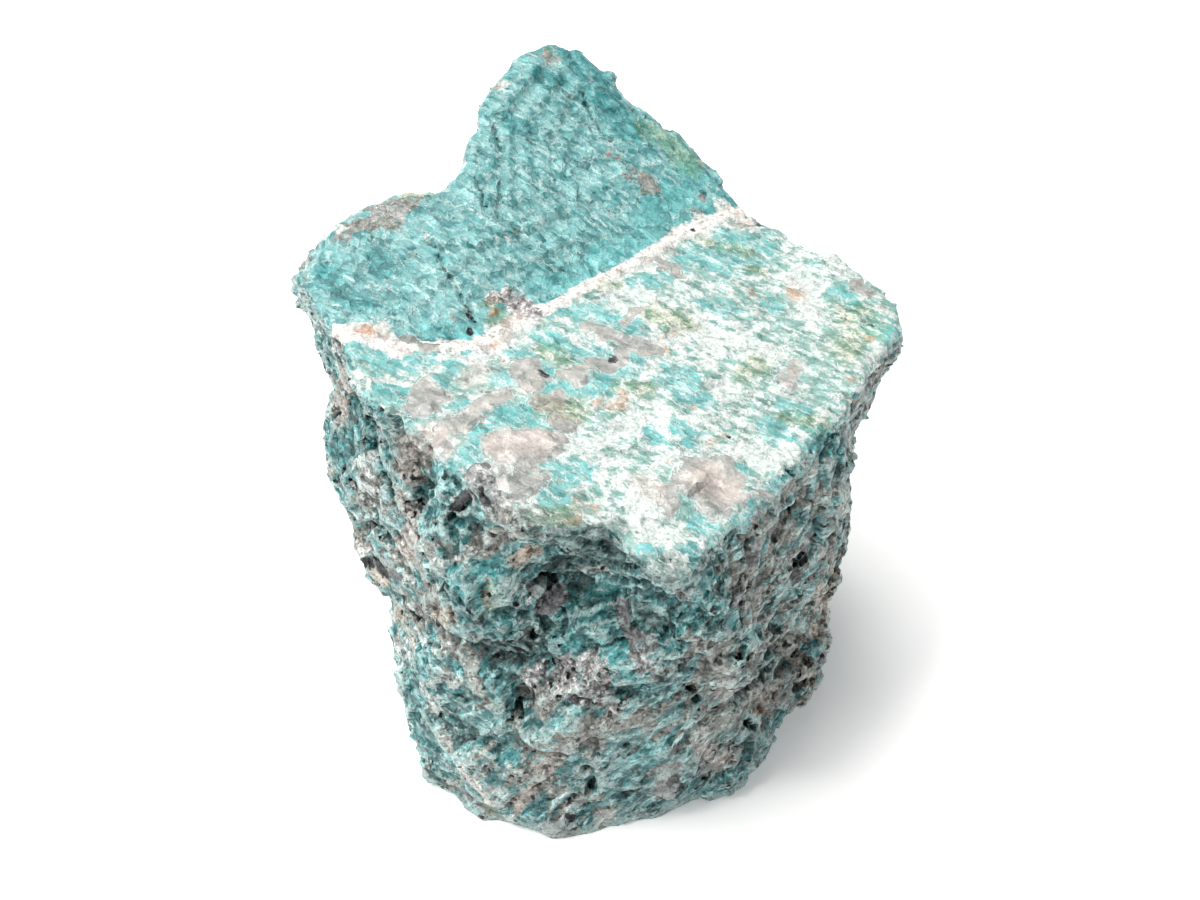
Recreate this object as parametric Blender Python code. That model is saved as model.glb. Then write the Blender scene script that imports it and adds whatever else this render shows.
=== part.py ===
"""Rough amazonite: one broken block of blue-green feldspar with white albite and grey quartz.

The block is hewn from convex pieces that share their cleavage directions: a shelf with a flat
top, the body under it, a foot that reaches forward, a lobe that leans back behind the shelf and
rises to the tip, a wing beside it, and a spur on the front edge. They are fused, then broken
into small cleavage steps, dented where pieces have come away, thinned, and cut flat where the
stone stands.
"""

import bmesh
import bpy
import numpy as np
from mathutils import Vector, kdtree

NAME = "amazonite_block"
MM = 0.001

# Driving heights, in millimetres above the surface that the stone stands on
SHELF = 86.0
TIP = 103.0

# Each piece is the hull of its corners, in millimetres: +X right, +Y back, +Z up
SHELF_SLAB = [
    # flat top, from the left round the front to the back
    (-45, -8, SHELF), (-40, -21, SHELF), (-33, -27, SHELF), (-24, -36, SHELF),
    (-17, -47.5, SHELF - 1), (-9, -52, SHELF - 1), (4, -52.5, SHELF), (20, -50, SHELF),
    (29, -43, SHELF), (36, -31, SHELF), (41.5, -26, SHELF), (46, -16, SHELF),
    (51, -10, SHELF), (53, -1, SHELF), (46, 8.5, SHELF), (38, 16.5, SHELF), (31, 21, SHELF),
    # under the lobe and the wing
    (27, 28, SHELF - 2), (-8, 50, SHELF - 4), (-30, 12, SHELF - 2),
    # rolled right edge
    (55, -6, 81), (53.3, -9, 80.5), (48, -16, 78.8), (43, -24, 78),
    # underside
    (-50, 2, 68), (-38, -24, 72), (-28, -36, 72), (-17, -45, 76), (-7, -49, 75), (4, -50, 75),
    (16, -50, 72), (30, -40, 70), (42, -25, 72), (47, -14, 70), (51, -4, 70), (43, 10, 70),
    (24, 34, 70), (-6, 50, 66), (-30, 20, 70), (-46, 10, 68),
]
BODY = [
    # top, inside the shelf
    (-44, -10, 76), (-34, -26, 78), (-28, -36, 76), (-15, -47, 73), (12, -51, 76),
    (28, -43, 78), (38, -33, 82), (40, -32.5, 81), (42, -26, 76), (46, 2, 76),
    # left side
    (-54, -2, 60), (-54, -5, 57), (-53, -8, 55.5), (-51, -13, 49), (-50, -17, 45),
    (-48, -21, 38), (-45, -26, 34),
    # front
    (-26, -45, 50), (-17, -51, 44), (8, -54, 58), (22.5, -54, 62), (25, -52, 38),
    # right side
    (44, -24, 67), (44, -22, 61), (45.5, -20, 49), (45, -21, 38), (47.5, -21, 31),
    (46, -23, 24),
    # hidden back
    (50, 2, 62), (46, 16, 40), (24, 40, 44), (-8, 54, 62), (-12, 52, 34), (-34, 34, 40),
    (-49, 12, 46), (-42, -4, 22), (38, 20, 18), (14, 42, 18), (-14, 46, 16), (-36, 26, 18),
]
FOOT = [
    # lower edge, from the left round the front to the right
    (-38.5, -34, 30), (-40.5, -37, 22), (-40, -40, 20), (-39, -43.5, 14), (-37.5, -46.5, 6),
    (-35, -49.5, 0), (-26, -52, 0), (-15.5, -57.5, 0), (-9, -62.5, 0), (-1, -62, 0),
    (11, -55.5, 1), (17, -53, 2), (26, -51.5, 3), (30, -47.5, 3), (36, -41, 4),
    (42.5, -36, 5), (45, -32, 7), (45, -26, 14), (45.5, -24, 22),
    # left ridge, from the top down
    (-28.5, -45.5, 43), (-32.5, -45.5, 31), (-28, -53, 14), (-22, -56.5, 11), (-17, -58.5, 4),
    # front, above the lower edge
    (-21, -49.5, 46), (-14, -52, 44), (-18, -55, 30), (8, -57, 20), (25, -51, 30),
    # hidden back
    (46, 6, 30), (40, 14, 6), (14, 40, 12), (-10, 46, 14), (-34, 28, 8), (-44, 0, 14),
    (-46, 0, 34), (-20, 30, 40),
    # what it stands on
    (-34, -48, -5), (-26, -53, -5), (-9, -61, -5), (-1, -60, -5), (16, -53, -5),
    (26, -45, -5), (36, -24, -5), (34, 6, -5), (12, 32, -5), (-12, 38, -5), (-34, 14, -5),
]
FRONT_BLOCK = [
    # lower front facet and the broken ledge above it
    (-13, -56, 41), (-7, -56.5, 37), (0, -58, 44.5), (3.5, -57, 47), (7, -56.5, 57),
    (15, -57, 67), (22.8, -54.5, 63.5), (25.5, -52, 36), (28, -49, 8), (-18, -57.5, 10),
    (-8, -61, 4), (8, -58, 4), (-10, -40, 40), (20, -40, 62), (10, -40, 10),
]
CORNER_MASS = [
    # blue-green bulge under the shelf's left front corner
    (-31, -38, 80), (-22, -41, 84), (-17, -46, 84), (-13, -47, 76), (-31.5, -41, 68),
    (-27, -47, 57), (-22, -51, 58), (-15, -52, 54), (-12, -49, 62), (-25, -46, 46),
    (-16, -50, 46), (-10, -30, 60), (-24, -30, 60),
]
SPUR = [
    # pointed corner of the shelf's front edge, and the step below it
    (1, -50, SHELF), (2, -56, SHELF - 0.5), (5, -59, SHELF), (11.3, -63, SHELF - 0.3),
    (15.5, -58, SHELF), (20.5, -50.5, SHELF), (29, -44, SHELF), (8, -56, 78), (14, -58, 77),
    (16, -57, 72), (22.5, -54, 66), (2, -50, 76), (26, -46, 70),
]
LOBE = [
    # front slope, from the seam with the shelf up to the tip
    (-17.5, -8.5, SHELF - 0.5), (-7, -0.5, SHELF - 0.5), (28, 28, SHELF), (-24, -11, SHELF - 2),
    (-11.5, 56, TIP), (-7.5, 57, TIP - 0.3), (-2.7, 55.8, 101.2), (1, 52.2, 99),
    (4, 46.8, 96.5), (7, 44.7, 95.4), (11, 45.8, 95.3), (16.8, 41.3, 92.8), (21.5, 34.8, 89.3),
    (25, 30, 87), (-18, 49.5, TIP - 0.3), (-23, 42.7, 101.2), (-23.8, 37, 100),
    (-25.3, 29.3, 98), (-25.5, 24.2, 96.6),
    # hidden back
    (-11, 58, 88), (4, 54, 74), (-25, 40, 66), (-4, 50, 40), (24, 30, 60), (-24, 6, 60),
]
MID_LOBE = [
    # one step lower, to the left of the lobe
    (-17.5, -8.5, SHELF - 0.5), (-24.5, -11, SHELF - 0.5), (-25.5, 26, 96.2), (-31, 19, 94.8),
    (-31, 12, 93), (-13, 11, 88.5), (-34, 17, 80), (-24, 30, 60), (-34, 4, 60),
]
WING = [
    # one more step lower, reaching over the left side
    (-46, -9, SHELF - 0.5), (-25, -12, SHELF - 0.5), (-24, 0, 87.5), (-31, 21, 94),
    (-38, 21.5, 93), (-46, 13, 91.5), (-53.5, 7, 88), (-57.5, 9, 83), (-59, 14, 78),
    (-57, 19, 80), (-44, 22, 86), (-32, 24, 90), (-58, 12, 75.5), (-56, 8.5, 73),
    (-54, 6.5, 71.5), (-51, 3, 68), (-34, 24, 60), (-30, 0, 60), (-46, -5, 66),
]
PIECES = (SHELF_SLAB, BODY, FOOT, FRONT_BLOCK, CORNER_MASS, SPUR, LOBE, MID_LOBE, WING)

# Where pieces have come away (depth above zero) or stand out (below zero), in millimetres:
# centre, reach along X, Y and Z, depth towards the inside of the stone
DENTS = [
    ((-4, -52, 67), (11, 8, 9), 5.0),       # hollow under the shelf's front edge
    ((-8, -48, 58), (4, 6, 5), 3.0),        # its dark lower corner
    ((0, -51, 60), (5, 6, 4), -2.0),        # lumps between the hollow and the ledge
    ((-5, -53, 52), (5, 6, 4), -1.5),
    ((2, -56, 79), (3, 6, 6), 2.5),         # notch beside the spur
    ((-30, -36, 76), (5, 9, 12), 3.0),      # matte band beside the bulge
    ((-28, -43, 60), (4, 6, 8), 1.5),
    ((-46, -19, 45), (6, 6, 5), 4.0),       # cavity low on the left
    ((-40, -22, 74), (5, 6, 6), 2.5),       # pit under the left edge
    ((-41, -31, 31), (5, 6, 4), 1.5),
    ((-20, -51, 46), (9, 6, 3), 1.5),       # groove below the bulge
    ((-14, -55, 37), (2.5, 4, 7), 2.0),     # gap beside the front block
    ((-24, -51, 30), (6, 5, 9), 1.0),
    ((14, -57, 50), (8, 5, 8), 1.5),
    ((34, -42, 42), (10, 8, 12), 2.0),      # shallow hollow in the right face
    ((38, -36, 20), (8, 8, 9), 2.5),
    ((38, -38, 2), (9, 8, 5), 3.0),         # undercut at the lower right
    ((45, -22, 70), (5, 7, 5), 2.0),        # waist under the right corner
    ((7, 50, 96), (5, 5, 6), 3.0),          # notch to the right of the tip
    ((-5, 54, 55), (14, 9, 12), 5.0),       # hidden back
    ((20, 36, 52), (10, 10, 14), 4.0),
    ((46, 8, 50), (9, 10, 10), 3.0),
    ((-38, 24, 52), (10, 10, 9), 4.0),
    ((-48, 8, 30), (9, 12, 10), 3.0),
    ((10, 42, 24), (12, 9, 9), -3.0),
    ((-20, 42, 30), (9, 9, 12), -2.5),
]

# The surface is carved at this spacing, then thinned to about this many triangles
CARVE_CELL = 1.3
TRIANGLES = 11000

# Cleavage steps: spacing of the broken cells, lowest and highest step, and steepest tilt
CELLS = ((15.0, -1.3, 0.9, 0.10), (7.0, -0.8, 0.55, 0.14))
CELL_BOX = ((-65, -70, -10), (60, 65, 110))

# The cleaved faces on top take only this share of those steps. They are the faces above
# CALM_FROM that look up: fully calm from an upward normal of CALM_UP[1], rough below CALM_UP[0]
TOP_SHARE = 0.25
CALM_FROM = 78.0
CALM_RAMP = 6.0
CALM_UP = (0.75, 0.90)

# Dents go towards this point inside the stone
HEART = (0.0, -3.0, 48.0)


def hull(corners):
    """A closed convex mesh round the corners."""
    bm = bmesh.new()
    for corner in corners:
        bm.verts.new(Vector(corner) * MM)
    made = bmesh.ops.convex_hull(bm, input=bm.verts)
    inside = set(made["geom_interior"] + made["geom_unused"])
    bmesh.ops.delete(bm, geom=[v for v in inside if isinstance(v, bmesh.types.BMVert)], context="VERTS")
    bmesh.ops.recalc_face_normals(bm, faces=bm.faces)
    mesh = bpy.data.meshes.new(NAME)
    bm.to_mesh(mesh)
    bm.free()
    return mesh


def joined(pieces):
    """One object that holds every piece's hull, not yet fused."""
    bm = bmesh.new()
    for corners in pieces:
        mesh = hull(corners)
        bm.from_mesh(mesh)
        bpy.data.meshes.remove(mesh)
    mesh = bpy.data.meshes.new(NAME)
    bm.to_mesh(mesh)
    bm.free()
    stone = bpy.data.objects.new(NAME, mesh)
    bpy.context.scene.collection.objects.link(stone)
    return stone


def apply_modifiers(obj):
    """Replaces the object's mesh by its evaluated one."""
    graph = bpy.context.evaluated_depsgraph_get()
    graph.update()
    mesh = bpy.data.meshes.new_from_object(obj.evaluated_get(graph))
    old = obj.data
    obj.modifiers.clear()
    obj.data = mesh
    bpy.data.meshes.remove(old)


def fuse(obj, cell):
    """Makes the object one closed surface of even cells."""
    remesh = obj.modifiers.new("even cells", "REMESH")
    remesh.mode = "VOXEL"
    remesh.voxel_size = cell * MM
    apply_modifiers(obj)


def coordinates(mesh):
    values = np.empty(len(mesh.vertices) * 3, np.float32)
    mesh.vertices.foreach_get("co", values)
    return values.reshape(-1, 3).astype(np.float64)


def normals(mesh):
    values = np.empty(len(mesh.vertices) * 3, np.float32)
    mesh.vertex_normals.foreach_get("vector", values)
    return values.reshape(-1, 3).astype(np.float64)


def cleavage(points, spacing, lowest, highest, tilt, seed):
    """Rise of each point over the fused surface: flat cells, each stepped and tilted its own way."""
    random = np.random.default_rng(seed)
    low, high = np.array(CELL_BOX)
    count = int(np.prod((high - low) / spacing))
    seeds = random.uniform(low, high, (count, 3))
    steps = random.uniform(lowest, highest, count)
    slopes = random.uniform(-tilt, tilt, (count, 3))
    tree = kdtree.KDTree(count)
    for index, seed_point in enumerate(seeds):
        tree.insert(seed_point, index)
    tree.balance()
    nearest = np.array([tree.find(point)[1] for point in points])
    away = points - seeds[nearest]
    return steps[nearest] + (slopes[nearest] * away).sum(axis=1)


def break_surface(mesh):
    """Steps the surface along each point's normal, then dents it towards the heart."""
    points = coordinates(mesh) / MM
    outward = normals(mesh)
    looks_up = np.clip((outward[:, 2] - CALM_UP[0]) / (CALM_UP[1] - CALM_UP[0]), 0, 1)
    calm = looks_up * np.clip((points[:, 2] - CALM_FROM) / CALM_RAMP, 0, 1)
    share = 1 - (1 - TOP_SHARE) * calm
    rise = np.zeros(len(points))
    for seed, (spacing, lowest, highest, tilt) in enumerate(CELLS):
        rise += cleavage(points, spacing, lowest, highest, tilt, seed) * share
    moved = points + outward * rise[:, None]
    inward = np.array(HEART) - points
    inward /= np.linalg.norm(inward, axis=1)[:, None]
    for middle, reach, depth in DENTS:
        distance = np.linalg.norm((points - middle) / reach, axis=1)
        fall = np.clip(1 - distance * distance, 0, 1)
        moved += inward * (depth * np.sqrt(fall) * np.clip(fall * 2, 0, 1))[:, None]
    mesh.vertices.foreach_set("co", (moved * MM).astype(np.float32).ravel())
    mesh.update()


def cut_base(mesh):
    """Cuts the stone flat at Z = 0 and closes the cut with one face."""
    bm = bmesh.new()
    bm.from_mesh(mesh)
    everything = bm.verts[:] + bm.edges[:] + bm.faces[:]
    cut = bmesh.ops.bisect_plane(
        bm, geom=everything, dist=1e-6, plane_co=(0, 0, 0), plane_no=(0, 0, 1), clear_inner=True
    )
    rim = [edge for edge in cut["geom_cut"] if isinstance(edge, bmesh.types.BMEdge)]
    bmesh.ops.edgeloop_fill(bm, edges=rim)
    bmesh.ops.recalc_face_normals(bm, faces=bm.faces)
    bm.to_mesh(mesh)
    bm.free()


def centre_on_box(mesh):
    """Moves the origin to the middle of the box's underside."""
    points = coordinates(mesh)
    middle = (points.min(axis=0) + points.max(axis=0)) / 2
    middle[2] = 0
    mesh.vertices.foreach_set("co", (points - middle).astype(np.float32).ravel())
    mesh.update()


def feldspar():
    material = bpy.data.materials.new("amazonite")
    material.use_nodes = True
    principled = material.node_tree.nodes["Principled BSDF"]
    principled.inputs["Base Color"].default_value = (0.33, 0.58, 0.56, 1)
    principled.inputs["Roughness"].default_value = 0.6
    principled.inputs["Metallic"].default_value = 0.0
    return material


def main():
    for obj in list(bpy.data.objects):
        bpy.data.objects.remove(obj)
    stone = joined(PIECES)
    fuse(stone, CARVE_CELL)
    break_surface(stone.data)
    fuse(stone, CARVE_CELL)
    thin = stone.modifiers.new("thin", "DECIMATE")
    thin.ratio = TRIANGLES / (2 * len(stone.data.polygons))
    apply_modifiers(stone)
    cut_base(stone.data)
    centre_on_box(stone.data)
    stone.data.materials.clear()
    stone.data.materials.append(feldspar())


main()
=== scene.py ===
import math

import bpy
import numpy as np
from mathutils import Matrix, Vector


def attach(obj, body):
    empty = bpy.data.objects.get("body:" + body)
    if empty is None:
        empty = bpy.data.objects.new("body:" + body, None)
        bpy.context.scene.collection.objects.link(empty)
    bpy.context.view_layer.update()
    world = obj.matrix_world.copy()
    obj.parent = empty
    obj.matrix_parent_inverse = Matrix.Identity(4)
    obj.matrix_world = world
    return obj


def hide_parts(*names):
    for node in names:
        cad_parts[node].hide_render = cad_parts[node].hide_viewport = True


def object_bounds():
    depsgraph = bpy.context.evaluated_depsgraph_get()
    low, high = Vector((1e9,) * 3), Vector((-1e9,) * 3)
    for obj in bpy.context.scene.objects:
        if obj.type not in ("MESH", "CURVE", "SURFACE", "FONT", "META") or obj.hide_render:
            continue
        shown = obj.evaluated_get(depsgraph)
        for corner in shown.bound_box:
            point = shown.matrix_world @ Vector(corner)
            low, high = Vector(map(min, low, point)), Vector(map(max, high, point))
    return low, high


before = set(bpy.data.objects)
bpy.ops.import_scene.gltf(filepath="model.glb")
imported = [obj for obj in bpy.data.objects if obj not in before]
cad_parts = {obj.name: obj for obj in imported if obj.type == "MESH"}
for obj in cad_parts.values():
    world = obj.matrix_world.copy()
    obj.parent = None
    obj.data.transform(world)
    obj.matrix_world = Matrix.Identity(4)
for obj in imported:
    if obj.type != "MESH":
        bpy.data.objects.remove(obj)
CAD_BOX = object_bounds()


# The camera, a phone with a 39 mm equivalent lens. It looks 48 degrees down
# at the stone from about 30 cm, as the photograph does.
CAMERA_PLACE = (0.002224, -0.172925, 0.240)     # m
CAMERA_LOOKS_DOWN = 48                          # degrees
LENS, SENSOR = 39, 36                           # mm

bpy.ops.object.select_all(action="DESELECT")
bpy.ops.object.camera_add(location=CAMERA_PLACE, rotation=(math.radians(90 - CAMERA_LOOKS_DOWN), 0, 0))
camera = bpy.context.object
camera.name = "studio_camera"
camera.data.lens = LENS
camera.data.sensor_width = SENSOR
bpy.context.scene.camera = camera


# The white sweep that the stone stands on: a matt diffuser sheet, lit faintly from below as
# on a product table. It lies level under the flat spot that the stone rests on.
SHEET_SIDE = 20         # m, so that its edges are far away from every side
SHEET_GLOW = 0.22       # keeps the stone's shadow pale


def linear(hex_code):
    values = [int(hex_code[i:i + 2], 16) / 255 for i in (1, 3, 5)]
    return tuple(v / 12.92 if v <= 0.04045 else ((v + 0.055) / 1.055) ** 2.4 for v in values) + (1.0,)


bpy.ops.object.select_all(action="DESELECT")
bpy.ops.mesh.primitive_plane_add(size=SHEET_SIDE, location=(0, 0, 0))
sweep = bpy.context.object
sweep.name = "white_sweep"
sheet = bpy.data.materials.new("matt_diffuser_sheet")
sheet.use_nodes = True
sheet_face = sheet.node_tree.nodes["Principled BSDF"].inputs
sheet_face["Base Color"].default_value = linear("#FFFFFF")
sheet_face["Roughness"].default_value = 0.9
sheet_face["Specular IOR Level"].default_value = 0.1
sheet_face["Emission Color"].default_value = linear("#FFFFFF")
sheet_face["Emission Strength"].default_value = SHEET_GLOW
sweep.data.materials.append(sheet)


# The light: one broad soft light high over the stone, a small one near it that strikes
# sparks from the crystals, a low soft one on the left, and a white room.
LIGHTS = (
    # name, tilt about X and Y in degrees, strength, spread in degrees
    ("key_soft_light", -10, -18, 3.00, 40),
    ("spark_light", 8, -24, 0.55, 7),
    ("left_soft_light", 8, -50, 1.25, 45),
)
LIGHTS_HANG = (-0.2, 0.15, 0.6)     # m; a sun light shines alike from any place
ROOM_LIGHT = 0.25

for name, back, left, strength, spread in LIGHTS:
    turned = (math.radians(back), math.radians(left), 0)
    bpy.ops.object.light_add(type="SUN", location=LIGHTS_HANG, rotation=turned)
    light = bpy.context.object
    light.name = name
    light.data.energy = strength
    light.data.angle = math.radians(spread)
    light.data.color = linear("#FFFDFA")[:3]
room = bpy.data.worlds.new("white_room")
room.use_nodes = True
room.node_tree.nodes["Background"].inputs["Color"].default_value = linear("#F6F9FB")
room.node_tree.nodes["Background"].inputs["Strength"].default_value = ROOM_LIGHT
bpy.context.scene.world = room
bpy.context.scene.view_settings.view_transform = "Standard"


# The stone, rough amazonite as it was broken out of the rock: blue-green microcline
# that splits along flat cleavage, with white sugary albite, grains of smoky quartz and
# a few black grains grown into it. One piece; it only stands on its flat spot.
MM = 0.001
STONE_CELL = 0.5            # mm between the points that are carved
STONE_TRIANGLES = 196000    # left after carving
MERGE_WITHIN = 0.02         # mm
CRISP_FROM = 14             # degrees between two faces whose edge stays sharp

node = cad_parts["amazonite_block"]
bpy.ops.object.select_all(action="DESELECT")
node.select_set(True)
bpy.context.view_layer.objects.active = node
bpy.ops.object.duplicate()
stone = bpy.context.object
stone.name = "rough_amazonite"
stone.data.name = "rough_amazonite"
stone.parent = None
for key in list(stone.keys()):
    del stone[key]
stone.data.materials.clear()
bpy.ops.object.mode_set(mode="EDIT")
bpy.ops.mesh.select_all(action="SELECT")
bpy.ops.mesh.remove_doubles(threshold=MERGE_WITHIN * MM)
bpy.ops.mesh.normals_make_consistent(inside=False)
bpy.ops.object.mode_set(mode="OBJECT")
stone.data.remesh_voxel_size = STONE_CELL * MM
stone.data.remesh_voxel_adaptivity = 0
bpy.ops.object.voxel_remesh()


def read_points():
    found = np.empty(len(stone.data.vertices) * 3)
    stone.data.vertices.foreach_get("co", found)
    return found.reshape(-1, 3) / MM


def read_normals():
    found = np.empty(len(stone.data.vertices) * 3)
    stone.data.vertex_normals.foreach_get("vector", found)
    return found.reshape(-1, 3)


def write_points(points):
    stone.data.vertices.foreach_set("co", (points * MM).astype(np.float32).ravel())
    stone.data.update()


def keep_field(name, values):
    """Stores one number per point with the mesh, for the material or for later."""
    stone.data.attributes.new(name, "FLOAT", "POINT").data.foreach_set("value", values.astype(np.float32))


# Noise that is the same on every run. A chance is one fixed number from 0 to 1 per
# whole-number cell, lumps are smooth noise, and grains cut the rock into crystals.
AXIS_PRIMES = (73856093, 19349663, 83492791)
SEED_FACTOR, SEED_START = 40503, 977
FIRST_FACTOR, SECOND_FACTOR = 48271, 69621
BITS_31, BITS_39, BITS_20 = 0x7FFFFFFF, 0x7FFFFFFFFF, 0xFFFFF


def chance(cells, seed):
    mixed = seed * SEED_FACTOR + SEED_START
    for axis, prime in enumerate(AXIS_PRIMES):
        mixed = mixed ^ (cells[:, axis] * prime)
    mixed = (mixed & BITS_31) * FIRST_FACTOR & BITS_39
    mixed = (mixed ^ (mixed >> 15)) & BITS_31
    mixed = (mixed * SECOND_FACTOR) & BITS_39
    mixed = mixed ^ (mixed >> 11)
    return (mixed & BITS_20) / BITS_20


def rotation(x, y, z):
    cx, sx, cy, sy, cz, sz = (f(math.radians(a)) for a in (x, y, z) for f in (math.cos, math.sin))
    about_x = np.array([[1, 0, 0], [0, cx, -sx], [0, sx, cx]])
    about_y = np.array([[cy, 0, sy], [0, 1, 0], [-sy, 0, cy]])
    about_z = np.array([[cz, -sz, 0], [sz, cz, 0], [0, 0, 1]])
    return about_z @ about_y @ about_x


TURN = rotation(31, 17, 43)     # keeps the noise's own grid off the stone's sides


def lumps(points, size, seed):
    """Smooth noise from -1 to 1, whose lumps are that many mm apart."""
    scaled = points @ TURN / size
    whole = np.floor(scaled).astype(np.int64)
    part = scaled - whole
    part = part * part * (3 - 2 * part)
    total = np.zeros(len(points))
    for corner in np.ndindex(2, 2, 2):
        weight = np.prod([part[:, i] if corner[i] else 1 - part[:, i] for i in range(3)], axis=0)
        total += weight * chance(whole + corner, seed)
    return total * 2 - 1


def grains(points, size, seed):
    """Each point's crystal as a whole number, and the crystals' cells."""
    scaled = points / size
    whole = np.floor(scaled).astype(np.int64)
    nearest = np.full(len(points), np.inf)
    own = np.zeros((len(points), 3), np.int64)
    for step in np.ndindex(3, 3, 3):
        here = whole + np.array(step) - 1
        middle = here + np.stack([chance(here, seed + i) for i in range(3)], axis=1)
        away = ((scaled - middle) ** 2).sum(1)
        closer = away < nearest
        nearest = np.where(closer, away, nearest)
        own[closer] = here[closer]
    cell_numbers = own @ np.array([1 << 40, 1 << 20, 1])
    _, first, index = np.unique(cell_numbers, return_index=True, return_inverse=True)
    return index.reshape(-1), own[first]


def smooth(value, low, high):
    share = np.clip((value - low) / (high - low), 0, 1)
    return share * share * (3 - 2 * share)


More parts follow.
